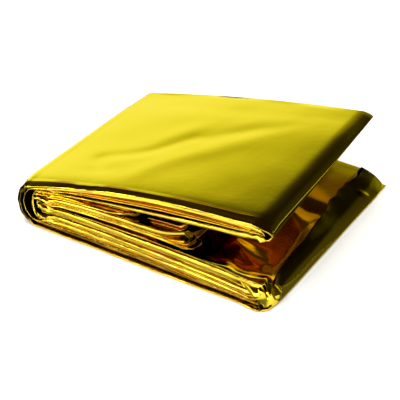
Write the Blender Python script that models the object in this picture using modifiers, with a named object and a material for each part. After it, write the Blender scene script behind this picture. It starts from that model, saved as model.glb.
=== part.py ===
"""A foil emergency blanket, folded back and forth into a pad that lies half open.

The pad lies on the XY plane. X runs from the spine, where the outer leaf turns
round, to the open side. Y runs from the front to the back, and Z is up.
The origin is under the middle of the pad, on the face that it rests on.
"""

import math
from collections import namedtuple

import bmesh
import bpy
from mathutils import Vector

MM = 0.001

# Driving sizes, in millimetres
PAD_WIDTH = 130.6
PAD_DEPTH = 115.7
LEAF_THICK = 1.7
SPINE_THICK = 3.2
CORNER_CUT = 4.4
CORNER_REACH = 12.0
RIPPLE_LENGTH = 38.0

# The open upper pad is a little shallower, and is turned about the spine's front end
UPPER_FRONT = 1.5
UPPER_TURN = 0.038
UPPER_DEPTH = 106.0
UPPER_CORNER = 0.4

# Cells along a long and a short leaf, on a fold, on the spine's wraps, and in depth
LONG_CELLS = 11
SHORT_CELLS = 8
FOLD_CELLS = 6
WRAP_CELLS = 10
DEPTH_CELLS = 7
# Distances in from an edge where its rounded rim is drawn, and the rim's thinnest share
RIM_STATIONS = (0.0, 0.8, 2.4)
RIM_LEAST = 0.22

# One row for each leaf, in the order in which the sheet runs through the pad.
# left is the X of its spine end, and short is how far it ends before the open side.
# front and back are its middle's heights at the left, halfway and at the right.
# extra is what its front adds to LEAF_THICK at the left, halfway and at the right.
# inset is how far its front and back edges lie in from the pad's, and ripple how
# uneven it lies. Every leaf stands for a bundle of plies of the thin film.
Leaf = namedtuple("Leaf", "name left short front back extra inset ripple")
LEAVES = (
    Leaf("bottom", 9.0, 0.0, (0.85, 0.85, 0.85), (0.85, 0.85, 0.85), (0.0, 0.0, 0.0), (0.0, 0.0), 0.0),
    Leaf("top", 7.0, 7.6, (21.5, 31.3, 37.6), (17.5, 30.0, 38.3), (1.3, 3.5, 4.1), (0.0, 0.0), 0.0),
    Leaf("under_top", 9.5, 7.2, (18.0, 26.0, 32.0), (15.3, 27.8, 36.1), (0.1, 0.1, 0.3), (1.0, 0.6), 0.1),
    Leaf("lower", 10.5, 4.0, (3.9, 6.0, 6.6), (3.2, 3.6, 3.8), (0.1, 0.1, 0.1), (0.8, 0.3), 0.2),
    Leaf("lower_top", 15.0, 4.0, (7.1, 9.9, 11.4), (5.4, 6.3, 7.0), (0.1, 0.2, 0.5), (0.2, 1.2), 0.3),
    Leaf("short_low", 11.5, 40.6, (9.9, 12.8, 17.0), (7.5, 9.3, 11.5), (0.1, 0.1, 0.1), (1.0, 2.0), 0.2),
    Leaf("short_high", 11.0, 43.1, (12.8, 17.0, 21.9), (9.7, 13.2, 17.0), (0.1, 0.1, 0.1), (2.0, 1.4), 0.2),
    Leaf("short_end", 11.0, 36.6, (15.5, 20.6, 26.4), (12.0, 18.0, 25.5), (0.0, 0.0, 0.0), (2.6, 3.0), 0.2),
)
# One row for each fold between a leaf and the next: its cells, and how far it swells
# past the two leaves' ends at the front and at the back
Fold = namedtuple("Fold", "cells front back")
FOLDS = (
    Fold(WRAP_CELLS, 8.0, 6.0),
    Fold(FOLD_CELLS, 3.6, 3.0),
    Fold(WRAP_CELLS, 6.6, 5.4),
    Fold(FOLD_CELLS, 2.6, 2.6),
    Fold(FOLD_CELLS, 2.2, 2.0),
    Fold(FOLD_CELLS, 2.4, 2.8),
    Fold(FOLD_CELLS, 2.0, 2.0),
)
UPPER_LEAVES = ("top", "under_top")

FILM_COLOUR = (0.86, 0.72, 0.06, 1.0)
FILM_ROUGHNESS = 0.18

Spot = namedtuple("Spot", "x height thick")
# Where the sheet is at one stop of its run: on a leaf, or turning from it to the next
Stop = namedtuple("Stop", "leaf following share turn fold")


def blend(first, second, share):
    return first + (second - first) * share


def through_three(values, share):
    """Value on the smooth curve through a leaf's left, halfway and right values."""
    left, middle, right = values
    rise = 4.0 * middle - right - 3.0 * left
    bend = 2.0 * (left + right - 2.0 * middle)
    return left + rise * share + bend * share * share


def is_upper(leaf):
    return leaf.name in UPPER_LEAVES


def reach(leaf):
    """The X of a leaf's end at the open side."""
    return PAD_WIDTH - leaf.short


def leaf_spot(leaf, share, depth):
    """Where a leaf's middle is, at a share of its length and of the pad's depth."""
    x = blend(leaf.left, reach(leaf), share)
    wave = leaf.ripple * math.sin(math.tau * x / RIPPLE_LENGTH + leaf.left)
    front = through_three(leaf.front, share) + wave * math.sin(math.pi * share)
    back = through_three(leaf.back, share)
    thick = LEAF_THICK + through_three(leaf.extra, share) * (1.0 - depth)
    if is_upper(leaf):
        x -= UPPER_TURN * UPPER_DEPTH * depth
    return Spot(x, blend(front, back, depth), thick)


def leaf_edges(leaf, share):
    """Y of a leaf's front and back edges, with its open front corner drawn in."""
    x = blend(leaf.left, reach(leaf), share)
    corner = CORNER_CUT * max(0.0, (x - reach(leaf) + CORNER_REACH) / CORNER_REACH) ** 2
    wander = 2.0 * leaf.ripple * math.sin(math.tau * x / RIPPLE_LENGTH)
    if is_upper(leaf):
        turned = UPPER_FRONT + UPPER_TURN * x
        front = turned + UPPER_CORNER * corner
        back = turned + UPPER_DEPTH
    else:
        front = corner
        back = PAD_DEPTH
    return front + leaf.inset[0] + wander, back - leaf.inset[1] - wander


def leaf_shares(leaf, has_free_end):
    """Shares of a leaf's length, closer together at its open corner and free end."""
    length = reach(leaf) - leaf.left
    is_long = length > 0.8 * PAD_WIDTH
    cells = LONG_CELLS if is_long else SHORT_CELLS
    shares = [cell / cells for cell in range(cells + 1)]
    if is_long:
        shares.insert(-1, 1.0 - 0.4 * CORNER_REACH / length)
    if has_free_end:
        shares.insert(-1, 1.0 - RIM_STATIONS[1] / length)
    return shares


def route():
    """All the stops of the sheet's run, which turns back at the end of each leaf."""
    stops = []
    for number, leaf in enumerate(LEAVES):
        runs_to_spine = number % 2 == 0
        is_last = number + 1 == len(LEAVES)
        shares = leaf_shares(leaf, number == 0 or is_last)
        if runs_to_spine:
            shares.reverse()
        for share in shares:
            stops.append(Stop(leaf, leaf, share, 0.0, None))
        if is_last:
            break
        fold = FOLDS[number]
        for cell in range(1, fold.cells):
            stops.append(Stop(leaf, LEAVES[number + 1], shares[-1], cell / fold.cells, fold))
    return stops


def sheet_spot(stop, depth):
    """Where the sheet's middle is at a stop, and the Y of its front and back edges."""
    spot = leaf_spot(stop.leaf, stop.share, depth)
    front, back = leaf_edges(stop.leaf, stop.share)
    if stop.turn == 0.0:
        return spot, front, back
    after = leaf_spot(stop.following, stop.share, depth)
    next_front, next_back = leaf_edges(stop.following, stop.share)
    ease = 0.5 - 0.5 * math.cos(math.pi * stop.turn)
    crest = math.sin(math.pi * stop.turn)
    swell = blend(stop.fold.front, stop.fold.back, depth) * crest
    outward = swell if stop.share == 1.0 else -swell
    thick = blend(spot.thick, after.thick, ease)
    if stop.leaf is LEAVES[0]:
        thick = blend(thick, SPINE_THICK, crest)
    turned = Spot(
        blend(spot.x, after.x, ease) + outward,
        blend(spot.height, after.height, ease),
        thick,
    )
    return turned, blend(front, next_front, ease), blend(back, next_back, ease)


def depth_stations():
    """Shares of the depth: close together in the rounded rims, even between them."""
    near = [station / PAD_DEPTH for station in RIM_STATIONS]
    far = [1.0 - share for share in reversed(near)]
    inner = [blend(near[-1], far[0], cell / DEPTH_CELLS) for cell in range(1, DEPTH_CELLS)]
    return near + inner + far


def rim_share(distance, thick):
    """Share of a leaf's thickness that is left this close to its rounded rim."""
    outward = 1.0 - min(max(distance, 0.0) / (0.5 * thick), 1.0)
    return max(RIM_LEAST, math.sqrt(1.0 - outward ** 2))


def folded_sheet():
    """The sheet's middle surface, with the thickness of each point in a vertex group."""
    stops = route()
    stations = depth_stations()
    thickest = LEAF_THICK + max(max(leaf.extra) for leaf in LEAVES)
    last = len(stops) - 1
    sheet = bmesh.new()
    bmesh.ops.create_grid(
        sheet,
        x_segments=last,
        y_segments=len(stations) - 1,
        size=1.0,
    )
    weights = []
    for vertex in sheet.verts:
        column = round((vertex.co.x + 1.0) * 0.5 * last)
        row = round((vertex.co.y + 1.0) * 0.5 * (len(stations) - 1))
        spot, front, back = sheet_spot(stops[column], stations[row])
        y = blend(front, back, stations[row])
        is_free_end = column in (0, last)
        from_rim = 0.0 if is_free_end else min(y - front, back - y)
        weights.append(spot.thick * rim_share(from_rim, spot.thick) / thickest)
        vertex.co = Vector((spot.x, y, spot.height)) * MM
    bmesh.ops.recalc_face_normals(sheet, faces=sheet.faces)
    mesh = bpy.data.meshes.new("foil_blanket")
    sheet.to_mesh(mesh)
    sheet.free()
    blanket = bpy.data.objects.new("foil_blanket", mesh)
    group = blanket.vertex_groups.new(name="thickness")
    for index, weight in enumerate(weights):
        group.add([index], weight, "REPLACE")
    solid = blanket.modifiers.new("leaf thickness", "SOLIDIFY")
    solid.thickness = thickest * MM
    solid.offset = 0.0
    solid.vertex_group = group.name
    return blanket


def film_material():
    """Satin gold metallised film."""
    film = bpy.data.materials.new("gold_film")
    film.use_nodes = True
    shader = film.node_tree.nodes["Principled BSDF"]
    shader.inputs["Base Color"].default_value = FILM_COLOUR
    shader.inputs["Metallic"].default_value = 1.0
    shader.inputs["Roughness"].default_value = FILM_ROUGHNESS
    return film


def centre_on_base(blanket):
    """Moves the mesh so that the solid's base lies at Z 0, centred on the origin."""
    view = bpy.context.evaluated_depsgraph_get()
    corners = [Vector(corner) for corner in blanket.evaluated_get(view).bound_box]
    low = Vector([min(corner[axis] for corner in corners) for axis in range(3)])
    high = Vector([max(corner[axis] for corner in corners) for axis in range(3)])
    base = Vector(((low.x + high.x) / 2.0, (low.y + high.y) / 2.0, low.z))
    for vertex in blanket.data.vertices:
        vertex.co -= base


def main():
    for old in list(bpy.data.objects):
        bpy.data.objects.remove(old, do_unlink=True)
    parts = bpy.data.collections.new("foil_blanket")
    bpy.context.scene.collection.children.link(parts)
    blanket = folded_sheet()
    parts.objects.link(blanket)
    blanket.data.materials.append(film_material())
    blanket.data.shade_smooth()
    bpy.context.view_layer.update()
    centre_on_base(blanket)


main()
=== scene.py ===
import math

import bmesh
import bpy
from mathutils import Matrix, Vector, noise


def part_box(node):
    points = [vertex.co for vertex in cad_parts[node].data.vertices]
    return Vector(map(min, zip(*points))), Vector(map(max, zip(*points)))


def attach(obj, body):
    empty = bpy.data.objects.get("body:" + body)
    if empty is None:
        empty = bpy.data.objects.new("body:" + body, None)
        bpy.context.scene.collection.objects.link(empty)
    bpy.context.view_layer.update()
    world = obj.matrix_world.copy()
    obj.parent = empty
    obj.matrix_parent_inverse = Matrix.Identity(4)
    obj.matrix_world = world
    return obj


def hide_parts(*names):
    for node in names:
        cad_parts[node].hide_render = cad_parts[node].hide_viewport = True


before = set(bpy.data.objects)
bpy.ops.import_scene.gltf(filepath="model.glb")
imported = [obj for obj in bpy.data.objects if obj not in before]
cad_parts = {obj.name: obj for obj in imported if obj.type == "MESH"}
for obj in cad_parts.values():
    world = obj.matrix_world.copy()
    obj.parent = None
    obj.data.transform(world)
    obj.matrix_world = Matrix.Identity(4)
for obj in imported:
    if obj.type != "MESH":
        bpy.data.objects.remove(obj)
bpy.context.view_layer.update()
nodeLow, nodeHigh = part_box("foil_blanket")
mm = 0.001

# All sizes below are millimetres in the pad's own frame: X from the spine to the open
# side, Y from the front edge to the back, Z up from the floor.
pad = {
    "width": 130.6,
    "depth": 115.7,
    "frontIn": 0.15,        # how far its front edge lies inside the solid's
    "upperFront": 1.5,      # the raised half is turned a little, and is less deep
    "upperTurn": 0.038,
    "upperDepth": 106.0,
    "corner": 4.4,          # how far the open front corner is drawn in
    "cornerReach": 12.0,
    "cornerUpper": 1.8,
    "lipReach": 5.5,        # how far a pleat's puffed front edge goes back
    "wrapCells": 18,        # cells round a fold that wraps the spine, and round the others
    "foldCells": 16,
    "gather": 1.9,          # how much closer a fold's cells lie at its tip
}
padOrigin = Vector((nodeHigh.x / mm - pad["width"], nodeLow.y / mm + pad["frontIn"], nodeLow.z / mm))


def mix(first, second, share):
    return first + (second - first) * share


def smooth(low, high, value):
    t = min(max((value - low) / (high - low), 0.0), 1.0)
    return t * t * (3.0 - 2.0 * t)


def throughThree(values, share):
    left, middle, right = values
    # The smooth curve through a left, a halfway and a right value
    rise = 4 * middle - right - 3 * left
    bend = 2 * (left + right - 2 * middle)
    return left + rise * share + bend * share * share


def wave(x, y, length, seed):
    # Smooth unevenness of about this length, from -1 to 1
    return noise.noise(Vector((x / length, y / length, seed)))


# The outer film, one row a leaf in the order in which it runs.
# ends: X at the spine and at the open side. front, back: height of the leaf's middle at
# its left, halfway and right. lip, puff: height and thickness that the front edge adds.
# thick: thickness inside. inset: of the front edge at left, halfway, right, then the back.
coverRows = [
    dict(leaf="bottom", ends=(9, 130.2), front=(0.6, 0.6, 0.6), back=(0.6, 0.6, 0.6), thick=1.1,
         spine=2.6, lip=(0, 0, 0), puff=(0.2, 0.1, 0.1), bevel=(2.4, 0.5, 0.4), inset=(0, 0, 0, 0),
         fold=(8.6, 6.6, 84, (0.5, 0.5))),
    dict(leaf="top", ends=(7, 121.5), front=(20.3, 33.2, 37.0), back=(17.7, 29.9, 38.6), thick=1.3,
         lip=(0, 0, 0), puff=(0.7, 0.7, 1.2), bevel=(3.6, 2.9, 4.2), inset=(0, 0, 0, 0),
         fold=(5.6, 4.6, 76, (0.62, 0.28))),
    dict(leaf="underTop", ends=(11.0, 122.0), front=(17.6, 25.0, 29.9), back=(15.0, 27.4, 35.8),
         thick=0.9, lip=(0, 0, 0), puff=(0.3, 0.8, 1.9), inset=(1, 1, 0.6, 0.6),
         fold=(2.6, 2.4, 80, (0.5, 0.5))),
    dict(leaf="lower", ends=(10.5, 124.0), slant=4, front=(7.8, 8.7, 5.4), back=(3.9, 4.1, 3.9),
         thick=0.9, lip=(0.2, 0.3, 1.5), puff=(1.3, 1.5, 1.3), inset=(0.8, 0.5, 0.4, 0.3),
         fold=(2.0, 1.8, 88, (0.5, 0.5))),
    dict(leaf="lowerTop", ends=(15, 122.0), slant=6, front=(11.8, 12.0, 7.0), back=(6.0, 6.2, 5.4),
         thick=0.9, lip=(0.5, 0.7, 4.8), puff=(2.3, 3.0, 3.4), inset=(0.4, 0.1, 0, 1.2),
         fold=(1.6, 1.4, 88, (0.5, 0.5))),
    dict(leaf="shortLow", ends=(11.5, 90), slant=8, front=(13.9, 15.8, 15.6), back=(8.0, 9.4, 11.0),
         thick=0.8, lip=(0, 0.6, 1.6), puff=(0.1, 0.2, 0.2), inset=(1.2, 1.6, 2.0, 2.0),
         fold=(0.8, 0.8, 60, (0.4, 0.4))),
    dict(leaf="shortHigh", ends=(11, 86.5), slant=8, front=(16.2, 18.4, 17.8), back=(10.0, 12.6, 14.6),
         thick=0.7, lip=(0, 1.2, 3.0), puff=(0.9, 1.4, 1.6), inset=(0.8, 0.9, 0.9, 1.4),
         fold=(1.4, 1.4, 88, (0.5, 0.5))),
    dict(leaf="shortEnd", ends=(11, 62), slant=20, front=(17.9, 20.0, 22.2), back=(12.2, 15.0, 18.0),
         thick=0.5, lip=(0, 0, 0), puff=(0.2, 0.1, 0), inset=(1.4, 1.5, 1.8, 3.0), fold=None),
]
# The film inside it, which lies on the other side of every leaf
innerRows = [
    dict(leaf="bottom", ends=(11, 126.5), front=(2.4, 2.5, 2.1), back=(1.6, 1.6, 1.6), thick=0.5,
         spine=0.45, lip=(0, 0, 0), puff=(1.6, 1.8, 1.2), inset=(0.9, 1.1, 0.9, 1.0),
         fold=(7.4, 5.4, 86, (0.5, 0.5))),
    dict(leaf="top", ends=(9, 121.5), front=(18.8, 31.4, 34.8), back=(16.6, 29.0, 37.3), thick=0.8,
         lip=(0, 0, 0), puff=(0.2, 0.9, 1.3), inset=(0.3, 0.1, 0, 1.0),
         fold=(2.9, 2.4, 75, (0.6, 0.6))),
    dict(leaf="underTop", ends=(11.5, 121.0), front=(18.6, 27.0, 31.8), back=(15.9, 28.2, 36.5),
         thick=0.4, lip=(0, 0, 0), puff=(0, 0.1, 0.1), inset=(1.8, 1.8, 1.2, 1.0),
         fold=(4.6, 4.0, 80, (0.5, 0.5))),
    dict(leaf="lower", ends=(12, 126.0), slant=3, front=(5.2, 6.0, 3.7), back=(2.7, 2.8, 2.6),
         thick=0.8, lip=(0, 0.1, 0.7), puff=(1.0, 1.3, 1.2), inset=(0.9, 0.6, 0.3, 0.2),
         fold=(3.4, 3.2, 80, (0.1, 0.1))),
    dict(leaf="lowerTop", ends=(17, 124.2), slant=7, front=(12.9, 13.0, 8.2), back=(7.2, 7.5, 6.6),
         thick=0.4, lip=(0.3, 2.1, 6.0), puff=(0, 0, 0), inset=(1.0, 0.5, 0.5, 1.0),
         fold=(1.2, 1.0, 88, (0.5, 0.5))),
    dict(leaf="shortLow", ends=(16, 88), slant=8, front=(14.6, 16.6, 16.4), back=(8.6, 10.1, 12.0),
         thick=0.3, lip=(0, 0.6, 1.6), puff=(0, 0, 0), inset=(1.9, 2.2, 2.2, 2.4),
         fold=(0.6, 0.6, 60, (0.5, 0.5))),
    dict(leaf="shortHigh", ends=(15, 83), slant=8, front=(15.3, 17.4, 17.1), back=(9.4, 11.8, 13.8),
         thick=0.3, lip=(0, 0.9, 1.7), puff=(0, 0, 0), inset=(1.8, 1.8, 2.0, 2.0),
         fold=(0.8, 0.8, 88, (0.5, 0.5))),
    dict(leaf="shortEnd", ends=(14, 60), slant=20, front=(17.2, 19.4, 21.5), back=(11.4, 14.2, 17.2),
         thick=0.3, lip=(0, 0, 0), puff=(0, 0, 0), inset=(2.0, 2.0, 2.2, 3.4), fold=None),
]
wraps = (0, 2)          # the folds that go round the spine
upperLeaves = ("top", "underTop")
spineCreases = (0.0, 0.34, 0.68, 1.0)   # the outer wrap is flat between these shares of its half turn
rimSteps = (0.0, 0.35, 0.8, 1.4, 2.1, 3.0)  # how far in from a front rim the first lines run


def leafPoint(row, share, depth):
    # X and Z of a leaf's middle, with no lip
    x = mix(row["ends"][0], row["ends"][1], share)
    z = mix(throughThree(row["front"], share), throughThree(row["back"], share), depth)
    if row["leaf"] in upperLeaves:
        x -= pad["upperTurn"] * pad["upperDepth"] * depth
    x -= row.get("slant", 0) * depth * share
    return x, z


def leafEdges(row, share):
    x = mix(row["ends"][0], row["ends"][1], share)
    inset = throughThree(row["inset"][:3], share)
    over = max(0.0, (x - row["ends"][1] + pad["cornerReach"]) / pad["cornerReach"]) ** 2
    if row["leaf"] in upperLeaves:
        turned = pad["upperFront"] + pad["upperTurn"] * x
        return turned + pad["cornerUpper"] * over + inset, turned + pad["upperDepth"] - row["inset"][3]
    return pad["corner"] * over + inset, pad["depth"] - row["inset"][3]


def gathered(turn):
    return 0.5 + 0.5 * math.copysign(abs(2 * turn - 1) ** pad["gather"], turn - 0.5)


def filmRoute(rows, spacing):
    # Stops along a film: row, next row, share of the leaf, share of the turn
    stops = []
    for number, row in enumerate(rows):
        cells = round((row["ends"][1] - row["ends"][0]) / spacing)
        shares = [cell / cells for cell in range(cells + 1)]
        if number % 2 == 0:
            shares.reverse()
        stops += [(number, number, share, 0.0) for share in shares]
        if row["fold"]:
            cells = pad["wrapCells"] if number in wraps else pad["foldCells"]
            turns = [cell / cells for cell in range(1, cells)]
            if number not in wraps:
                turns = [gathered(turn) for turn in turns]
            stops += [(number, number + 1, shares[-1], turn) for turn in turns]
    return stops


def stopLine(rows, stop, depth):
    # X and Z of the film's middle. A fold is two arcs that meet at its tip
    number, following, share, turn = stop
    row = rows[number]
    x, z = leafPoint(row, share, depth)
    if turn == 0.0:
        return x, z
    nextX, nextZ = leafPoint(rows[following], share, depth)
    swell = mix(*row["fold"][:2], depth)
    bend = math.radians(row["fold"][2])
    tipShare = mix(*row["fold"][3], depth)
    tipX = (x + nextX) / 2 + (swell if share == 1.0 else -swell)
    tipZ = mix(z, nextZ, tipShare)
    fromX, fromZ, along = (x, z, turn * 2) if turn < 0.5 else (nextX, nextZ, 2 - turn * 2)
    corners = spineCreases if number == 0 else (along, along)
    for first, second in zip(corners, corners[1:]):
        if along <= second:
            break
    share = (along - first) / (second - first) if second > first else 0.0
    out = mix(math.sin(bend * first), math.sin(bend * second), share) / math.sin(bend)
    up = (1 - mix(math.cos(bend * first), math.cos(bend * second), share)) / (1 - math.cos(bend))
    return mix(fromX, tipX, out), mix(fromZ, tipZ, up)


def stopValues(rows, stop):
    # Thickness, puff, lip, bevel and the two edges at a stop, eased round a fold
    number, following, share, turn = stop
    ease = 0.5 - 0.5 * math.cos(math.pi * turn)
    found = []
    for row in (rows[number], rows[following]):
        found.append((row["thick"], throughThree(row["puff"], share), throughThree(row["lip"], share),
                      throughThree(row.get("bevel", (0, 0, 0)), share), *leafEdges(row, share)))
    found = [mix(first, second, ease) for first, second in zip(*found)]
    crest = math.sin(math.pi * turn)
    if number == 0:
        found[0] = mix(found[0], rows[0]["spine"], smooth(0, 0.3, crest))
        found[1] *= 1 - 0.9 * smooth(0, 0.3, crest)
    elif number in wraps:
        found[0] *= 1 - 0.45 * smooth(0, 0.5, crest)
        found[1] *= 1 - 0.8 * smooth(0, 0.5, crest)
    else:
        found[0] *= 1 - 0.7 * crest
        found[1] *= 1 - 0.8 * crest
        found[3] *= 1 - 0.7 * crest
    return found


def crossSection(overCells, underCells):
    # Once round a film's section, as (part, value) from the front rim's top
    loop = [("over", (step, 0.0)) for step in rimSteps]
    loop += [("over", (4.0, cell / overCells)) for cell in range(overCells + 1)]
    loop += [("back", turn / 8) for turn in range(1, 8)]
    loop += [("under", (1.1, 1 - cell / underCells)) for cell in range(underCells + 1)]
    loop += [("under", (0.3, 0.0)), ("under", (0.0, 0.0))]
    loop += [("front", turn / 18) for turn in range(1, 18)]
    return loop


def rimPoint(value, thick, wide, corner):
    # Inset and height on a front rim: a small lower corner, an upright face, then a wide bevel
    if value < 0.4:
        turn = value / 0.4 * math.pi / 2
        return 0.6 * corner * (1 - math.sin(turn)), corner * (1 - math.cos(turn))
    turn = (value - 0.4) / 0.6 * math.pi / 2
    return wide * (1 - math.cos(turn)), mix(corner, thick, math.sin(turn))


def facets(x, y, size, seed):
    # Height of crushed film, 0 to 1: flat triangles of about one size, with sharp creases
    across = (x + 0.5 * size * wave(x, y, size * 2.2, seed)) / size
    along = (y + 0.5 * size * wave(y, x, size * 1.9, seed)) / size
    column, row = math.floor(across), math.floor(along)
    x, y = across - column, along - row
    corners = ((0, 0), (1, 0), (0, 1), (1, 1))
    heights = [noise.cell(Vector((column + i + 0.5, row + j + 0.5, seed))) for i, j in corners]
    first, right, up, last = heights
    if x + y < 1:
        return first + x * (right - first) + y * (up - first)
    return last + (1 - x) * (up - last) + (1 - y) * (right - last)


def pinchCorner(x, y, z):
    # Draws the lower pad's pleats together at its front right corner, and crushes them
    near = smooth(108, 127, x) * smooth(13, 2, y) * smooth(18, 15.5, z)
    if near > 0:
        x += 0.6 * near * max(0.0, 130.2 - x) * smooth(112, 121, x)
        z = mix(z, 3.8 + (z - 3.8) * 0.75, near)
        near *= smooth(114, 121, x)
        z += 0.9 * near * (facets(x, y + z, 2.6, 1.5) - 0.5)
        y += 1.6 * near * (facets(x, z, 2.8, 8.5) - 0.4)
    near = smooth(8.5, 11, x) * smooth(25, 15, x) * smooth(9, 2, y) * smooth(3.5, 6, z)
    y += 1.8 * near * (facets(x, z, 2.6, 12.5) - 0.3)
    z += 0.8 * near * (facets(z, x, 2.4, 13.5) - 0.5)
    return x, y, max(z, 0.05)


def makeFilm(name, settings):
    rows = settings["rows"]
    stops = filmRoute(rows, settings["spacing"])
    loop = crossSection(settings["overCells"], settings["underCells"])
    ends = [[stopLine(rows, stop, depth) for stop in stops] for depth in (0.0, 1.0)]
    values = [stopValues(rows, stop) for stop in stops]
    film = bmesh.new()
    bmesh.ops.create_grid(film, x_segments=len(stops) - 1, y_segments=len(loop), size=1.0)
    satin = film.verts.layers.float.new("satin")
    paintedBounce = film.verts.layers.float.new("paintedBounce")
    shade = film.verts.layers.float.new("shade")
    edge = film.verts.layers.float.new("edge")
    lift = film.verts.layers.float.new("lift")
    last = len(stops) - 1
    for vertex in film.verts:
        column = round((vertex.co.x + 1) * 0.5 * last)
        part, value = loop[round((vertex.co.y + 1) * 0.5 * len(loop)) % len(loop)]
        thick, puff, lip, bevel, front, back = values[column]
        rim = thick + puff
        wide = max(bevel, 0.3 * rim)
        corner = mix(0.4, 0.2, smooth(0.5, 1.5, bevel)) * rim
        if part in ("over", "under"):
            start = front + (wide if part == "over" else 0.6 * corner) + value[0]
            share = value[1]
            y = mix(start, back - 0.5 * thick, share ** 1.3)
            level = 0.5 if part == "over" else -0.5
            near = math.exp(-((y - front) / pad["lipReach"]) ** 2)
            offset = level * (thick + puff * near)
            inward = y - start + value[0]
            height = rim if part == "over" else 0.0
        elif part == "front":
            inset, height = rimPoint(value, rim, wide, corner)
            y = front + inset
            near = math.exp(-(inset / pad["lipReach"]) ** 2)
            offset = height - 0.5 * rim
            inward = 0.0
        else:
            y = back - 0.5 * thick * (1 - math.sin(math.pi * value))
            near = 0.0
            offset = 0.5 * thick * math.cos(math.pi * value)
            inward, height = back - front, 0.0
        depth = (y - front) / (back - front)
        here = [mix(ends[0][column][axis], ends[1][column][axis], depth) for axis in (0, 1)]
        # The film's two sides lie half its thickness off its middle, square to its run
        before, after = max(column - 1, 0), min(column + 1, last)
        along = [mix(ends[0][after][axis] - ends[0][before][axis],
                     ends[1][after][axis] - ends[1][before][axis], depth)
                 for axis in (0, 1)]
        length = math.hypot(*along)
        normal = (-along[1] / length, along[0] / length)
        moved, forward = settings["shape"](rows, stops[column], here[0], y, depth, near, part, inward)
        offset += moved
        x = here[0] + normal[0] * offset
        z = here[1] + normal[1] * offset + lip * near
        # Painted reflection and painted shade for this point, from the film's tone
        vertex[paintedBounce], vertex[shade] = settings["tone"](rows, stops[column], here[0], here[1], y - front)
        vertex[edge] = smooth(1.2, 0.2, inward)
        vertex[lift] = height + 10 * (stops[column][0] + stops[column][3])
        if rows[stops[column][0]]["leaf"] == "top" and part == "over" and stops[column][3] == 0.0:
            vertex[satin] = smooth(0.3, 1.2, y - front) * smooth(-1.0, 2.0, rows[1]["ends"][1] - here[0])
        y += forward
        if rows[stops[column][0]]["leaf"] in upperLeaves:
            near = smooth(115, 123, x) * smooth(14, 7, y)
            z += 1.0 * near * (facets(x, y, 2.6, 2.5) - 0.5)
            y += 1.6 * near * (facets(x, z, 2.6, 5.5) - 0.4)
        else:
            x, y, z = pinchCorner(x, y, z)
        vertex.co = (padOrigin + Vector((x, y, z))) * mm
    bmesh.ops.remove_doubles(film, verts=film.verts, dist=1e-6)
    openEnds = [line for line in film.edges if line.is_boundary]
    bmesh.ops.holes_fill(film, edges=openEnds, sides=0)
    bmesh.ops.triangulate(film, faces=[face for face in film.faces if len(face.verts) > 4])
    bmesh.ops.recalc_face_normals(film, faces=film.faces)
    return finishPiece(name, film)


def finishPiece(name, film):
    mesh = bpy.data.meshes.new(name)
    film.to_mesh(mesh)
    film.free()
    piece = bpy.data.objects.new(name, mesh)
    bpy.context.scene.collection.objects.link(piece)
    mesh.shade_smooth()
    return piece


# The smooth film over the lower pad's open side. Each station has the place of its left
# edge, a thin curved line on the crinkled film, and of its lower edge.
sideFilm = {
    "stations": [((112.5, 0.8, 11.4), (113.0, 0.6, 10.8)), ((118.5, 1.3, 11.0), (119.5, 0.9, 9.0)),
                 ((124.0, 2.0, 9.9), (125.4, 0.9, 5.4)), ((127.3, 3.2, 9.0), (128.6, 1.4, 0.7)),
                 ((128.6, 5.5, 8.5), (130.6, 3.0, 0.6)), ((128.2, 9.6, 8.0), (131.0, 7, 0.7)),
                 ((125.2, 19, 8.4), (131.2, 15, 0.7)), ((123.6, 33, 8.7), (131.2, 28, 0.7)),
                 ((123.5, 47, 8.7), (131.0, 45, 0.7)), ((121.4, 60, 8.5), (130.9, 60, 0.7)),
                 ((119.0, 72, 8.3), (130.7, 74, 0.7)), ((118.0, 82, 8.1), (130.6, 88, 0.7)),
                 ((117.6, 96, 7.8), (130.6, 100, 0.7)), ((117.4, 107, 7.6), (130.2, 108, 0.8)),
                 ((117.2, 114.8, 7.3), (128.4, 115.2, 1.2))],
    "bulge": 0.5,           # 0 is a flat band, 1 a quarter round
    "thick": 0.4,
    "acrossCells": 26,
    "alongCells": 150,
}


def throughPoints(points, place):
    # Point on the smooth curve through the points, by number along them
    number = min(int(place), len(points) - 2)
    t = place - number
    around = [Vector(points[min(max(number + step, 0), len(points) - 1)]) for step in (-1, 0, 1, 2)]
    first, second = (around[2] - around[0]) / 2, (around[3] - around[1]) / 2
    return ((2 * t ** 3 - 3 * t * t + 1) * around[1] + (t ** 3 - 2 * t * t + t) * first
            + (3 * t * t - 2 * t ** 3) * around[2] + (t ** 3 - t * t) * second)


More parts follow.
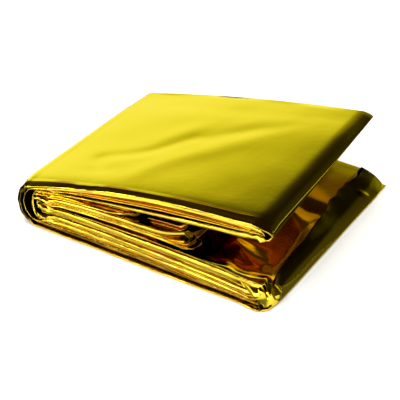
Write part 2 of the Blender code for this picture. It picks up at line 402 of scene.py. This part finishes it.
def makeSideFilm():
    film = bmesh.new()
    bmesh.ops.create_grid(film, x_segments=sideFilm["acrossCells"], y_segments=sideFilm["alongCells"],
                          size=1.0)
    creases, edges = zip(*sideFilm["stations"])
    paintedBounce = film.verts.layers.float.new("paintedBounce")
    shade = film.verts.layers.float.new("shade")
    for vertex in film.verts:
        across = (vertex.co.x + 1) / 2
        place = ((vertex.co.y + 1) / 2) ** 1.5 * (len(creases) - 1)
        start, end = throughPoints(creases, place), throughPoints(edges, place)
        turn = across * math.pi / 2
        out = mix(across, math.sin(turn), sideFilm["bulge"])
        down = mix(across, 1 - math.cos(turn), sideFilm["bulge"])
        x, y, z = mix(start.x, end.x, out), mix(start.y, end.y, across), mix(start.z, end.z, down)
        near = smooth(9, 5, y)
        dent = max(0.0, 1 - abs(y - 10.4) / 3.8 - abs(z - 4.6) / 3.4)
        x += near * mix(0.7, 1.5, smooth(121, 126, x)) * (facets(x + y, z, 3.9, 3.5) - 0.6) + 1.9 * dent
        y += 1.1 * near * (facets(x + y, z, 3.4, 6.5) - 0.5)
        # Towards the back its inner edge is jagged, and one short nick crosses it
        jagged = 1.4 * (1 - across) ** 9 * smooth(58, 70, y) * smooth(112, 106, y)
        x -= jagged * (facets(y, 0.3 * x, 4.0, 2.7) - 0.4)
        nick = math.exp(-((y - 96 - 4 * across) / 0.6) ** 2)
        z += 0.8 * nick * smooth(0.35, 0.5, across) * smooth(0.85, 0.7, across)
        # Painted shade: darker along the inner edge towards the back, all across at the back, at the
        # front corner and over the roll's upper band; its inner edge is painted brown, a painted
        # reflection
        backShade = 0.8 * smooth(0.12, 0.03, across) * smooth(62, 78, y) + 0.75 * smooth(98, 110, y)
        cornerShade = 0.85 * smooth(6.4, 4.6, z) * smooth(118, 121, x) * smooth(129.6, 128, x)
        cornerShade *= smooth(6, 4, y)
        rollShade = mix(0.35, 0.9, smooth(0.66, 0.5, across)) * smooth(6, 10, y)
        rollShade *= 1 - min(1.0, 9 * dent)
        vertex[shade] = max(backShade, cornerShade, rollShade)
        vertex[paintedBounce] = 0.7 * smooth(0.12, 0.03, across)
        z += 0.08 * wave(x, y, 16, 9.0) * smooth(0, 0.3, across)
        vertex.co = (padOrigin + Vector((x, y, max(z, 0.3)))) * mm
    bmesh.ops.recalc_face_normals(film, faces=film.faces)
    bmesh.ops.solidify(film, geom=film.faces[:], thickness=sideFilm["thick"] * mm)
    bmesh.ops.recalc_face_normals(film, faces=film.faces)
    return finishPiece("sideFilm", film)


# Single plies that show as fine lines between the pleats. ends: X of both ends. height and inset: height,
# and how far back the front edge lies, at left, halfway and right. thick is one number or three. The last
# two columns: how brown and how dark they are painted, a painted reflection of light mirrored between
# plies and painted shade.
plyRows = [
    # under the raised panel
    dict(ends=(10, 120), height=(18.5, 30.0, 32.8), thick=0.45, inset=(1.6, 2.6, 1.6)),
    dict(ends=(11, 118), height=(18.0, 28.0, 31.8), thick=0.4, inset=(2.0, 1.8, 1.6)),
    dict(ends=(11, 61), height=(17.3, 20.9, 24.2), thick=0.4, inset=(1.6, 1.4, 1.3)),
    dict(ends=(11, 63), height=(16.9, 19.4, 21.6), thick=0.4, inset=(1.5, 1.2, 1.2)),
    dict(ends=(13, 60), height=(17.4, 20.7, 23.1), thick=0.4, inset=(1.7, 1.5, 1.5)),
    dict(ends=(12, 61), height=(17.1, 19.7, 21.0), thick=0.4, inset=(1.5, 1.3, 1.4)),
    dict(ends=(12, 60), height=(16.9, 19.2, 20.2), thick=0.4, inset=(1.6, 1.2, 1.3)),
    dict(ends=(12, 62), height=(16.7, 18.8, 19.4), thick=0.4, inset=(1.5, 1.1, 1.2)),
    dict(ends=(12, 61), height=(16.5, 18.4, 18.7), thick=0.4, inset=(1.5, 1.2, 1.3)),
    # further in, past the short end, where they show as fine lines
    dict(ends=(69, 85), height=(19.8, 20.3, 20.6), thick=0.4, inset=(5.2, 5.2, 5.2), paintedBounce=0.6),
    dict(ends=(68, 87), height=(21.2, 21.9, 22.3), thick=0.4, inset=(5.2, 5.2, 5.2), paintedBounce=0.3),
    dict(ends=(67, 86), height=(22.5, 23.4, 23.9), thick=0.5, inset=(5.2, 5.2, 5.2), paintedBounce=0.8),
    dict(ends=(67, 86), height=(21.0, 21.8, 22.2), thick=(3.4, 3.9, 3.9), inset=(6.8, 6.8, 6.8),
         paintedBounce=1, shade=0.6),
    # between the short leaves and the lower pad's ridge
    dict(ends=(13, 92), height=(14.8, 16.6, 16.2), thick=0.4, inset=(1.6, 1.6, 1.8)),
    dict(ends=(13, 94), height=(15.1, 17.3, 17.0), thick=0.35, inset=(1.9, 1.9, 1.9)),
    dict(ends=(13, 91), height=(15.5, 18.0, 18.2), thick=0.35, inset=(1.8, 1.8, 2.1)),
    # in the lower pad
    dict(ends=(12, 122), height=(10.0, 10.6, 9.0), thick=0.4, inset=(1.2, 1.2, 1.3)),
    dict(ends=(12, 124), height=(6.6, 7.4, 5.7), thick=0.4, inset=(1.0, 0.9, 0.9)),
    dict(ends=(11, 124), height=(3.75, 3.95, 3.0), thick=0.3, inset=(1.2, 1.1, 1.0)),
    # bundles that lie further in and close the gaps
    dict(ends=(12, 121), height=(17.9, 28.6, 32.6), thick=(0.8, 4.2, 1.9), inset=(3.4, 3.4, 3.0),
         paintedBounce=1, shade=0.5),
    dict(ends=(13, 88), height=(14.9, 16.8, 16.8), thick=(1.6, 2.0, 2.2), inset=(2.8, 2.8, 2.8),
         paintedBounce=1, shade=0.35),
    dict(ends=(14, 60), height=(17.2, 19.8, 20.9), thick=(1.0, 2.6, 4.4), inset=(2.6, 2.4, 2.4),
         paintedBounce=1, shade=0.3),
    dict(ends=(13, 120), height=(10.1, 10.6, 8.8), thick=(1.2, 1.5, 0.8), inset=(2.0, 2.0, 2.0),
         paintedBounce=1, shade=0.4),
    dict(ends=(13, 122), height=(6.6, 7.5, 5.6), thick=(0.8, 1.2, 0.8), inset=(2.0, 2.0, 2.0),
         paintedBounce=1, shade=0.4),
    dict(ends=(13, 122), height=(3.9, 4.4, 3.2), thick=(1.2, 1.4, 1.0), inset=(1.9, 1.9, 1.8),
         paintedBounce=1, shade=0.5),
]
# How far in each goes and the length of its cells, in mm, and its cells all round
plyStrip = {"deep": 9.0, "spacing": 1.6, "aroundCells": 12}


def makePlies(name, rows):
    # Strips that go a short way in and are rounded all round
    film = bmesh.new()
    for number, row in enumerate(rows):
        strip = bmesh.new()
        paintedBounce = strip.verts.layers.float.new("paintedBounce")
        shade = strip.verts.layers.float.new("shade")
        columns = round((row["ends"][1] - row["ends"][0]) / plyStrip["spacing"])
        around = plyStrip["aroundCells"]
        bmesh.ops.create_grid(strip, x_segments=columns, y_segments=around, size=1.0)
        for vertex in strip.verts:
            share = (vertex.co.x + 1) / 2
            turn = round((vertex.co.y + 1) * 0.5 * around) % around / around * math.tau
            x = mix(row["ends"][0], row["ends"][1], share)
            end = math.sqrt(max(1 - (2 * share - 1) ** 40, 0.02))
            inset = throughThree(row["inset"], share) + 0.35 * wave(x, number * 7.0, 12, 4.0)
            inset += 1.5 * (1 - end)
            height = throughThree(row["height"], share) + 0.22 * wave(x, number * 5.0, 16, 6.0)
            half = plyStrip["deep"] * 0.5
            y = inset + half - math.copysign(abs(math.cos(turn)) ** 0.35, math.cos(turn)) * half * end
            thick = throughThree(row["thick"], share) if isinstance(row["thick"], tuple) else row["thick"]
            z = height + math.sin(turn) * thick * 0.5 * end
            # Painted reflection and painted shade, as the row gives them
            vertex[paintedBounce], vertex[shade] = row.get("paintedBounce", 0.0), row.get("shade", 0.0)
            # Those that belong to the raised half follow its turned front edge
            if row["height"][1] > 25 or row["ends"][1] < 70:
                y += pad["upperFront"] + pad["upperTurn"] * x
            vertex.co = (padOrigin + Vector(pinchCorner(x, y, z))) * mm
        bmesh.ops.remove_doubles(strip, verts=strip.verts, dist=1e-6)
        bmesh.ops.holes_fill(strip, edges=[edge for edge in strip.edges if edge.is_boundary], sides=0)
        bmesh.ops.recalc_face_normals(strip, faces=strip.faces)
        mesh = bpy.data.meshes.new("strip")
        strip.to_mesh(mesh)
        strip.free()
        film.from_mesh(mesh)
        bpy.data.meshes.remove(mesh)
    return finishPiece(name, film)


def runLength(rows):
    stops = filmRoute(rows, 4.0)
    points = [Vector(stopLine(rows, stop, 0.5)) for stop in stops]
    return sum((after - before).length for before, after in zip(points, points[1:]))


# Soft troughs (positive) and ridges on the raised panel, each along a few points
wrinkles = [
    dict(line=[(30, 23), (26, 31), (30, 33), (39, 37), (47, 43), (52, 52), (58, 61), (65, 64)],
         deep=0.34, wide=4.0),
    dict(line=[(50, 11), (53, 17), (56, 27), (61, 37), (67, 45), (73, 51), (82, 63), (92, 79)],
         deep=-0.3, wide=6.5),
    dict(line=[(60, 62), (68, 66), (75, 72), (81, 77), (90, 82), (97, 89)], deep=0.3, wide=5.0),
    dict(line=[(55, 60), (64, 59), (72, 61)], deep=0.14, wide=2.2),
    dict(line=[(24, 35), (26, 29), (33, 22), (43, 18)], deep=0.2, wide=3.5),
    dict(line=[(20, 92), (31, 92), (56, 93), (82, 96)], deep=0.16, wide=4.5),
    dict(line=[(83, 94), (102, 98), (118, 102)], deep=0.1, wide=2.0),
    dict(line=[(22, 18), (32, 17), (41, 20)], deep=0.12, wide=3.0),
    dict(line=[(38, 52), (46, 60), (52, 70), (60, 78)], deep=-0.2, wide=6.0),
]


def lineDistance(line, x, y):
    # Distance to a line of points, and the share of the way along it
    best, place = 1e9, 0.0
    for number, (first, second) in enumerate(zip(line, line[1:])):
        dx, dy = second[0] - first[0], second[1] - first[1]
        t = min(max(((x - first[0]) * dx + (y - first[1]) * dy) / (dx * dx + dy * dy), 0.0), 1.0)
        away = math.hypot(x - first[0] - dx * t, y - first[1] - dy * t)
        if away < best:
            best, place = away, (number + t) / (len(line) - 1)
    return best, place


def coverShape(rows, stop, x, y, depth, near, part, inward):
    leaf = rows[stop[0]]["leaf"]
    moved = 0.0
    onPanel = 1.0 if leaf == "top" else 0.0
    if stop[3] > 0:
        onPanel = smooth(0.5, 1, stop[3]) if leaf == "bottom" else (1 - smooth(0, 0.5, stop[3])) * onPanel
    if part in ("over", "front"):
        if stop[0] == 0 and stop[3] > 0:
            crest = smooth(0, 0.35, math.sin(math.pi * stop[3]))
            crease = facets(1.4 * x + 3 * stop[3], 26 * stop[3], 4.2, 3.9) - 0.5
            moved += 0.7 * crest * crease * smooth(3, 0.5, inward)
        moved += onPanel * throughThree((1.0, 0.6, 0.8), stop[2]) * (1 - near) * smooth(1.0, 0.7, depth)
        moved -= onPanel * 0.26 * math.exp(-inward / 2.6)
    if leaf == "top" and part in ("over", "front") and stop[3] == 0.0:
        for wrinkle in wrinkles:
            away, place = lineDistance(wrinkle["line"], x, y)
            if away < 3 * wrinkle["wide"]:
                fade = math.sin(math.pi * min(max(place, 0.02), 0.98)) ** 0.6
                moved -= 1.3 * wrinkle["deep"] * fade * math.exp(-(away / wrinkle["wide"]) ** 2)
        moved += 0.3 * wave(x, y, 34, 3.1) + 0.07 * wave(x, y, 12, 8.4) + 0.012 * wave(x, y, 2.5, 4.4)
    elif leaf != "top":
        moved += 0.08 * wave(x, y, 9, 2.0 + stop[0])
    forward = 0.25 * wave(x, 3.0 * stop[0], 15, 7.7)
    if leaf == "top":
        forward += 0.9 * (facets(x, 2.0, 4.0, 9.1) - 0.5) * smooth(28, 34, x) * smooth(50, 44, x)
    return moved, forward * near


def innerShape(rows, stop, x, y, depth, near, part, inward):
    # Called as coverShape is. Large and small crumples show on the wedge's floor
    if rows[stop[0]]["leaf"] == "lowerTop":
        inside = smooth(0, 8, y) * smooth(0, 8, 112 - y) * smooth(126, 118, x)
        deep = smooth(85, 55, y)
        large = (facets(x, y, 11.0, 1.5) - 0.5) * mix(0.5, 1.9, deep)
        small = (facets(x, y, 6.0, 4.5) - 0.5) * mix(0.05, 0.5, deep)
        return inside * (large + small), 0.0
    return 0.06 * wave(x, y, 8, 3.0 + stop[0]), 0.3 * wave(x, 3.0 * stop[0], 13, 2.7) * near


def coverTone(rows, stop, x, z, inward):
    # Painted reflection and painted shade: how brown the film is painted in the crushed inside, for light
    # mirrored many times there, and how dark it is painted where it lies in shadow
    number, leaf, turn = stop[0], rows[stop[0]]["leaf"], stop[3]
    paintedBounce = smooth(2.5, 5, inward) if leaf in ("shortLow", "shortHigh", "shortEnd", "lowerTop") else 0.0
    if leaf == "underTop":
        paintedBounce = 0.35 * smooth(2.5, 5, inward)
    shade = 0.0
    if leaf == "top":
        # Along the raised panel's open side the film rolls over into shadow
        shade = 0.62 * (smooth(0.7, 0.45, turn) if turn > 0 else smooth(0.962, 0.995, stop[2]))
    # Painted shade on the rim of the outer wrap round the spine, with a few bright nicks left unpainted
    if number == 0 and turn > 0:
        shade = smooth(0.02, 0.12, turn) * smooth(0.98, 0.86, turn) * smooth(3.0, 1.5, inward)
        shade *= smooth(0.84, 0.72, facets(1.2 * z, x, 2.7, 3.3)) * 0.84
    elif number == 5 and turn > 0:
        shade = 0.85
    elif leaf in ("shortHigh", "shortEnd", "underTop"):
        shade = 0.9 * smooth(2, 5, inward) * smooth(102, 93, x) * smooth(60, 35, inward)
    elif leaf == "lower":
        shade = 0.7 * smooth(120, 125, x) * smooth(5, 2, inward)
    return paintedBounce, shade


def innerTone(rows, stop, x, z, inward):
    number, leaf, turn = stop[0], rows[stop[0]]["leaf"], stop[3]
    # Painted reflection and painted shade on the inner film, as in coverTone: its flat bottom, the
    # pinched tip, the gap and the wedge's back
    if leaf == "bottom" and turn == 0:
        return 0.6, 0.72
    tip = 0.8 * smooth(118, 124, x) * smooth(5, 2, inward) if leaf == "lower" else 0.0
    paintedBounce = smooth(2.5, 5, inward) * mix(0.1, 1.0, smooth(112, 92, inward + 0.3 * (x - 110)))
    shade = 0.0
    if number == 5 and turn > 0:
        shade = 0.85
    elif leaf in ("lowerTop", "underTop", "shortHigh", "shortEnd"):
        shade = 0.92 * smooth(2, 5, inward) * smooth(101, 95, x - 0.1 * inward) * smooth(62, 34, inward)
    if leaf == "lowerTop":
        shade = max(shade, 0.55 * smooth(46, 64, inward))
    return paintedBounce, max(shade, tip)


def linearColour(code):
    channels = [int(code[place:place + 2], 16) / 255 for place in (1, 3, 5)]
    return tuple(c / 12.92 if c <= 0.04045 else ((c + 0.055) / 1.055) ** 2.4 for c in channels) + (1.0,)


def addNode(tree, kind, settings=None, inputs=None, links=None):
    node = tree.nodes.new(kind)
    for key, value in (settings or {}).items():
        setattr(node, key, value)
    for key, value in (inputs or {}).items():
        node.inputs[key].default_value = value
    for key, source in (links or {}).items():
        tree.links.new(source, node.inputs[key])
    return node


# Vacuum-metallised polyester film: 12 micron sheet with aluminium on one side and a gold
# lacquer over it. It mirrors the room, yellow in one bounce and orange after several.
filmLook = {
    "colour": "#F3D63A",
    "sheen": "#FFFAD8",         # at a glancing angle
    "paintedBounce": "#FFB450",        # painted reflection: the brown painted in the crushed hollows for light mirrored many times there; the next is the painted dark sheen wherever brown or shade is painted
    "paintedShadeSheen": "#5A3010",
    "shade": "#20140A",         # painted shade, deep in the gap
    "streakShade": 0.45,        # how much of that painted shade a line between plies has
    "lineLength": 22.0,         # mm along a line and, by height, from one line to the next
    "lineStep": 0.5,
    "lineDepth": 0.35,          # mm
    "rough": 0.07,
    "satinRough": 0.2,          # on the raised panel
    "hollowRough": 0.07,        # added in the hollows
    "crinkle": 3.0,             # mm, far coarser than the film's own grain, so that it shows
    "crinkleDepth": 0.10,
}


def makeFilmMaterial():
    material = bpy.data.materials.new("gold_film")
    material.use_nodes = True
    tree = material.node_tree
    shader = tree.nodes["Principled BSDF"]
    shader.inputs["Metallic"].default_value = 1.0
    shader.inputs["Base Color"].default_value = linearColour(filmLook["colour"])
    # Painted reflection: the crushed hollows are painted brown for light mirrored many times there, and
    # made rougher
    paintedBounce = addNode(tree, "ShaderNodeAttribute", {"attribute_name": "paintedBounce"})
    # Fine lines along a pleat's front edge, where the edges of its many plies show: bumped, and painted
    # brown and darker, a painted reflection and painted shade between the plies
    edge = addNode(tree, "ShaderNodeAttribute", {"attribute_name": "edge"})
    lift = addNode(tree, "ShaderNodeAttribute", {"attribute_name": "lift"})
    place = addNode(tree, "ShaderNodeTexCoord")
    split = addNode(tree, "ShaderNodeSeparateXYZ", {}, {}, {"Vector": place.outputs["Object"]})
    along = addNode(tree, "ShaderNodeMath", {"operation": "DIVIDE"}, {1: filmLook["lineLength"] * mm},
                    {0: split.outputs["X"]})
    across = addNode(tree, "ShaderNodeMath", {"operation": "DIVIDE"}, {1: filmLook["lineStep"]},
                     {0: lift.outputs["Fac"]})
    spot = addNode(tree, "ShaderNodeCombineXYZ", {}, {},
                   {"X": along.outputs["Value"], "Y": across.outputs["Value"]})
    lines = addNode(tree, "ShaderNodeTexNoise", {}, {"Scale": 1.0, "Detail": 2.0},
                    {"Vector": spot.outputs["Vector"]})
    brown = addNode(tree, "ShaderNodeMapRange", {},
                    {"From Min": 0.36, "From Max": 0.54, "To Min": 0.9, "To Max": 0.0},
                    {"Value": lines.outputs["Fac"]})
    streak = addNode(tree, "ShaderNodeMath", {"operation": "MULTIPLY"}, {},
                     {0: brown.outputs["Result"], 1: edge.outputs["Fac"]})
    brown = addNode(tree, "ShaderNodeMath", {"operation": "MAXIMUM"}, {},
                    {0: streak.outputs["Value"], 1: paintedBounce.outputs["Fac"]})
    colour = addNode(tree, "ShaderNodeMix", {"data_type": "RGBA"}, {}, {"Factor": brown.outputs["Value"]})
    colour.inputs[6].default_value = linearColour(filmLook["colour"])
    colour.inputs[7].default_value = linearColour(filmLook["paintedBounce"])
    shade = addNode(tree, "ShaderNodeAttribute", {"attribute_name": "shade"})
    faint = addNode(tree, "ShaderNodeMath", {"operation": "MULTIPLY"}, {1: filmLook["streakShade"]},
                    {0: streak.outputs["Value"]})
    darker = addNode(tree, "ShaderNodeMath", {"operation": "MAXIMUM"}, {},
                     {0: faint.outputs["Value"], 1: shade.outputs["Fac"]})
    dark = addNode(tree, "ShaderNodeMix", {"data_type": "RGBA"}, {}, {"Factor": darker.outputs["Value"]})
    dark.inputs[7].default_value = linearColour(filmLook["shade"])
    tree.links.new(colour.outputs[2], dark.inputs[6])
    # Painted shade on the sheen: where brown or shade is painted, the glancing sheen is painted dark
    # brown too
    inside = addNode(tree, "ShaderNodeMath", {"operation": "MAXIMUM"}, {},
                     {0: paintedBounce.outputs["Fac"], 1: shade.outputs["Fac"]})
    tint = addNode(tree, "ShaderNodeMix", {"data_type": "RGBA"}, {}, {"Factor": inside.outputs["Value"]})
    tint.inputs[6].default_value = linearColour(filmLook["sheen"])
    tint.inputs[7].default_value = linearColour(filmLook["paintedShadeSheen"])
    tree.links.new(tint.outputs[2], shader.inputs["Specular Tint"])
    tree.links.new(dark.outputs[2], shader.inputs["Base Color"])
    satin = addNode(tree, "ShaderNodeAttribute", {"attribute_name": "satin"})
    rough = addNode(tree, "ShaderNodeMapRange", {},
                    {"To Min": filmLook["rough"], "To Max": filmLook["satinRough"]},
                    {"Value": satin.outputs["Fac"]})
    duller = addNode(tree, "ShaderNodeMath", {"operation": "MULTIPLY_ADD"}, {1: filmLook["hollowRough"]},
                     {0: paintedBounce.outputs["Fac"], 2: rough.outputs["Result"]})
    tree.links.new(duller.outputs["Value"], shader.inputs["Roughness"])
    cell = addNode(tree, "ShaderNodeTexNoise", {},
                   {"Scale": 1 / (filmLook["crinkle"] * mm), "Detail": 2.0},
                   {"Vector": place.outputs["Object"]})
    bump = addNode(tree, "ShaderNodeBump", {},
                   {"Strength": 0.25, "Distance": filmLook["crinkleDepth"] * mm},
                   {"Height": cell.outputs["Fac"]})
    ridges = addNode(tree, "ShaderNodeMath", {"operation": "MULTIPLY"}, {},
                     {0: lines.outputs["Fac"], 1: edge.outputs["Fac"]})
    ridged = addNode(tree, "ShaderNodeBump", {},
                     {"Strength": 0.5, "Distance": filmLook["lineDepth"] * mm},
                     {"Height": ridges.outputs["Value"], "Normal": bump.outputs["Normal"]})
    tree.links.new(ridged.outputs["Normal"], shader.inputs["Normal"])
    return material


# Spacing of the cells along each film in mm, and cells across its upper and under sides
coverFilm = dict(rows=coverRows, spacing=1.7, overCells=34, underCells=12, shape=coverShape,
                 tone=coverTone)
inside = dict(rows=innerRows, spacing=1.6, overCells=16, underCells=52, shape=innerShape, tone=innerTone)

filmMaterial = makeFilmMaterial()
print("gold film material")
cover = makeFilm("cover", coverFilm)
print("cover", len(cover.data.polygons), "faces")
innerFilm = makeFilm("innerFilm", inside)
print("inner film", len(innerFilm.data.polygons), "faces")
plies = makePlies("plies", plyRows)
print("plies", len(plyRows), "strips")
side = makeSideFilm()
print("side film", len(side.data.polygons), "faces")
for piece in (plies, side):
    piece.data.materials.append(filmMaterial)
    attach(piece, "root")
for piece, rows in ((cover, coverRows), (innerFilm, innerRows)):
    piece.data.materials.append(filmMaterial)
    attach(piece, "root")
    runLength(rows) * mm
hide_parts("foil_blanket")
print("films ride on the packed part")


def matt(name):
    # Matt painted board: it gives the eye an even tone and no gloss
    material = bpy.data.materials.new(name)
    material.use_nodes = True
    shader = material.node_tree.nodes["Principled BSDF"]
    shader.inputs["Roughness"].default_value = 0.9
    shader.inputs["Specular IOR Level"].default_value = 0.0
    return material, shader


floorLook = {"halfSize": 4.0, "colour": "#EFEFEC"}


def makeFloor():
    board = bmesh.new()
    bmesh.ops.create_grid(board, x_segments=1, y_segments=1, size=floorLook["halfSize"])
    piece = finishPiece("floor", board)
    material, shader = matt("floor_board")
    shader.inputs["Base Color"].default_value = linearColour(floorLook["colour"])
    piece.data.materials.append(material)


makeFloor()
print("floor")

# Painted reflection and painted shade: grey cards lie on the floor, out of the camera's sight, and the
# gold film mirrors them as the floor in shadow at the left, right and back, and lit in front, fading
# darker. Each has its low and high corner in the pad's frame, and its greys from the low Y to the high.
cards = {
    "leftCard": {"low": (-150, -32), "high": (-1.5, 45), "greys": ["#141412", "#141412"]},
    "rightCard": {"low": (131.6, 10.5), "high": (520, 118.9), "greys": ["#605C52", "#605C52"]},
    "backCard": {"low": (-150, 119), "high": (520, 460), "greys": ["#2C2C2B", "#2C2C2B"]},
    "frontCard": {"low": (-1.4, -30), "high": (131.6, -2.6),
                  "greys": ["#F0FAEA", "#F0FAEA", "#DCE4D4", "#8E928A", "#484846"]},
}
cardHeight = 0.4            # mm above the floor


def makeCard(name, settings):
    card = bmesh.new()
    bmesh.ops.create_grid(card, x_segments=1, y_segments=1, size=0.5)
    low, high = (padOrigin + Vector((*settings[end], 0)) for end in ("low", "high"))
    for vertex in card.verts:
        x, y = mix(low.x, high.x, vertex.co.x + 0.5), mix(low.y, high.y, vertex.co.y + 0.5)
        vertex.co = Vector((x * mm, y * mm, cardHeight * mm))
    piece = finishPiece(name, card)
    material, shader = matt(name)
    tree = material.node_tree
    place = addNode(tree, "ShaderNodeTexCoord")
    across = addNode(tree, "ShaderNodeSeparateXYZ", {}, {}, {"Vector": place.outputs["Object"]})
    share = addNode(tree, "ShaderNodeMapRange", {}, {"From Min": low.y * mm, "From Max": high.y * mm},
                    {"Value": across.outputs["Y"]})
    shade = addNode(tree, "ShaderNodeValToRGB", {}, {}, {"Fac": share.outputs["Result"]})
    greys = settings["greys"]
    while len(shade.color_ramp.elements) < len(greys):
        shade.color_ramp.elements.new(0.5)
    for number, (element, grey) in enumerate(zip(shade.color_ramp.elements, greys)):
        element.position = number / (len(greys) - 1)
        element.color = linearColour(grey)
    tree.links.new(shade.outputs["Color"], shader.inputs["Base Color"])
    piece.data.materials.append(material)
    piece.visible_camera = False
    piece.visible_diffuse = False
    piece.visible_shadow = False


for name, settings in cards.items():
    makeCard(name, settings)
print("cards", len(cards))

# Soft light from above, for the floor alone: the film doesn't mirror it
overheadLook = {"strength": 4.9, "spread": 80, "lean": (10, -8, 0)}


def makeOverhead():
    overhead = bpy.data.lights.new("overhead", "SUN")
    overhead.energy = overheadLook["strength"]
    overhead.angle = math.radians(overheadLook["spread"])
    lamp = bpy.data.objects.new("overhead", overhead)
    lamp.rotation_euler = [math.radians(angle) for angle in overheadLook["lean"]]
    lamp.visible_glossy = False
    bpy.context.scene.collection.objects.link(lamp)


makeOverhead()

# What the film mirrors: the room's light by height above the horizon (Z of the direction), and
# the strip light in front, with the heights between which it fades out
roomLight = [
    (0.0, (1.08, 1.2, 0.6)), (0.25, (1.04, 1.14, 0.55)), (0.31, (0.88, 0.97, 0.3)),
    (0.36, (0.7, 0.77, 0.12)), (0.44, (0.56, 0.62, 0.06)), (0.49, (0.36, 0.4, 0.03)),
    (0.53, (0.16, 0.175, 0.01)), (0.58, (0.06, 0.065, 0.005)), (0.7, (0.03, 0.028, 0.01)),
    (1.0, (0.025, 0.022, 0.012)),
]
stripLight = {"strength": 7.0, "fullBelow": 0.08, "goneAbove": 0.19}
dimLight = {"colour": (1.0, 0.75, 0.35, 1), "strength": 0.032}


def makeRoom():
    world = bpy.data.worlds.new("studio")
    bpy.context.scene.world = world
    world.use_nodes = True
    tree = world.node_tree
    tree.nodes.clear()
    place = addNode(tree, "ShaderNodeTexCoord")
    split = addNode(tree, "ShaderNodeSeparateXYZ", {}, {}, {"Vector": place.outputs["Generated"]})
    ramp = addNode(tree, "ShaderNodeValToRGB", {}, {}, {"Fac": split.outputs["Z"]})
    while len(ramp.color_ramp.elements) < len(roomLight):
        ramp.color_ramp.elements.new(0.5)
    for element, (position, colour) in zip(ramp.color_ramp.elements, roomLight):
        element.position = position
        element.color = (*colour, 1.0)
    # A dark wall on the left and in front: how far the direction points to the back left
    facing = addNode(tree, "ShaderNodeVectorMath", {"operation": "DOT_PRODUCT"}, {1: (-0.35, 0.94, 0.0)},
                     {0: place.outputs["Generated"]})
    wall = addNode(tree, "ShaderNodeMapRange", {"interpolation_type": "SMOOTHSTEP"},
                   {"From Min": 0.6, "From Max": 0.8, "To Min": 0.05, "To Max": 1.0},
                   {"Value": facing.outputs["Value"]})
    room = addNode(tree, "ShaderNodeBackground", {}, {},
                   {"Color": ramp.outputs["Color"], "Strength": wall.outputs["Result"]})
    pale = addNode(tree, "ShaderNodeBackground", {}, {"Color": (1, 1, 1, 1), "Strength": 1.0})
    ray = addNode(tree, "ShaderNodeLightPath")
    # A low strip light in front, which puts a thin pale line on every rounded edge
    forward = addNode(tree, "ShaderNodeVectorMath", {"operation": "DOT_PRODUCT"}, {1: (0.0, -1.0, 0.0)},
                      {0: place.outputs["Generated"]})
    ahead = addNode(tree, "ShaderNodeMapRange", {"interpolation_type": "SMOOTHSTEP"},
                    {"From Min": 0.3, "From Max": 0.6, "To Min": 0.0, "To Max": stripLight["strength"]},
                    {"Value": forward.outputs["Value"]})
    low = addNode(tree, "ShaderNodeMapRange", {"interpolation_type": "SMOOTHSTEP"},
                  {"From Min": stripLight["fullBelow"], "From Max": stripLight["goneAbove"],
                   "To Min": 1.0, "To Max": 0.0}, {"Value": split.outputs["Z"]})
    glow = addNode(tree, "ShaderNodeMath", {"operation": "MULTIPLY"}, {},
                   {0: ahead.outputs["Result"], 1: low.outputs["Result"]})
    strip = addNode(tree, "ShaderNodeBackground", {}, {"Color": (1, 1, 1, 1)},
                    {"Strength": glow.outputs["Value"]})
    dim = addNode(tree, "ShaderNodeBackground", {},
                  {"Color": dimLight["colour"], "Strength": dimLight["strength"]})
    together = addNode(tree, "ShaderNodeAddShader", {}, {},
                       {0: room.outputs["Background"], 1: strip.outputs["Background"]})
    together = addNode(tree, "ShaderNodeAddShader", {}, {},
                       {0: together.outputs["Shader"], 1: dim.outputs["Background"]})
    both = addNode(tree, "ShaderNodeMixShader", {}, {}, {"Fac": ray.outputs["Is Camera Ray"]})
    tree.links.new(together.outputs["Shader"], both.inputs[1])
    tree.links.new(pale.outputs["Background"], both.inputs[2])
    addNode(tree, "ShaderNodeOutputWorld", {}, {}, {"Surface": both.outputs["Shader"]})


makeRoom()
print("studio light")

# Fitted to the outline in the photo; aim in metres, angles in degrees, lens in mm
cameraFit = {"azimuth": 32.11, "elevation": 32.98, "distance": 0.5698, "lens": 110.88,
             "aim": (0.000796, -0.005099, 0.0045)}


def placeCamera():
    camera = bpy.data.objects.new("camera", bpy.data.cameras.new("camera"))
    bpy.context.scene.collection.objects.link(camera)
    camera.data.sensor_width = 36.0     # full frame
    camera.data.lens = cameraFit["lens"]
    camera.data.clip_start = 0.01
    azimuth, elevation = math.radians(cameraFit["azimuth"]), math.radians(cameraFit["elevation"])
    back = Vector((math.sin(azimuth) * math.cos(elevation), -math.cos(azimuth) * math.cos(elevation),
                   math.sin(elevation)))
    camera.location = Vector(cameraFit["aim"]) + back * cameraFit["distance"]
    camera.rotation_euler = (-back).to_track_quat("-Z", "Y").to_euler()
    bpy.context.scene.camera = camera


placeCamera()
bpy.context.scene.view_settings.view_transform = "Standard"
bpy.context.scene.cycles.max_bounces = 16
bpy.context.scene.cycles.glossy_bounces = 12
